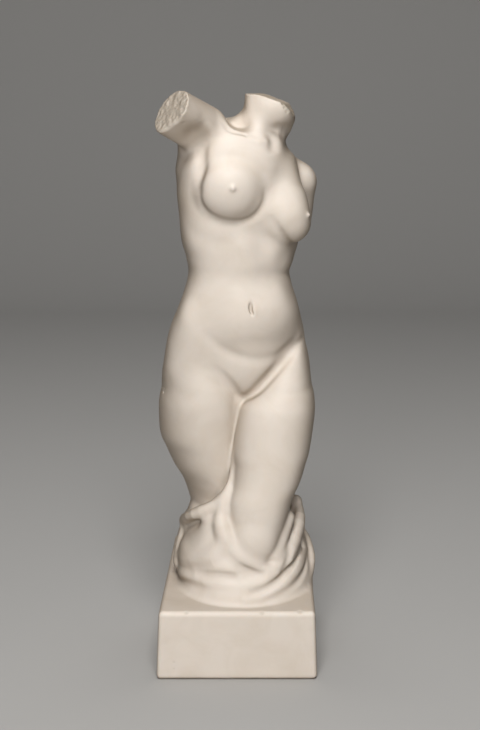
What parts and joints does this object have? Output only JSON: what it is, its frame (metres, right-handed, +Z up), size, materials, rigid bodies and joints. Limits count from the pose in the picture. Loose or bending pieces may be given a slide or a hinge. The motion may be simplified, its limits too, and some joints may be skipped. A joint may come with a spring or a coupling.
{
  "type": "torso sculpture",
  "caption": "White marble torso of a standing nude woman, headless, arms broken off, with cloth fallen round her knees on a block plinth; a carved piece for display.",
  "frame": {"origin": "middle of the plinth's flat underside, on the surface that the sculpture stands on", "axes": "+Z up through the neck, -Y out of the plinth's front face, the side that the picture shows, and +X towards her left arm"},
  "size_m": [0.1807, 0.2096, 0.6451],
  "materials": {
    "marble": "satin"
  },
  "bodies": {
    "root": {"marble_torso": "marble"}
  },
  "joints": []
}
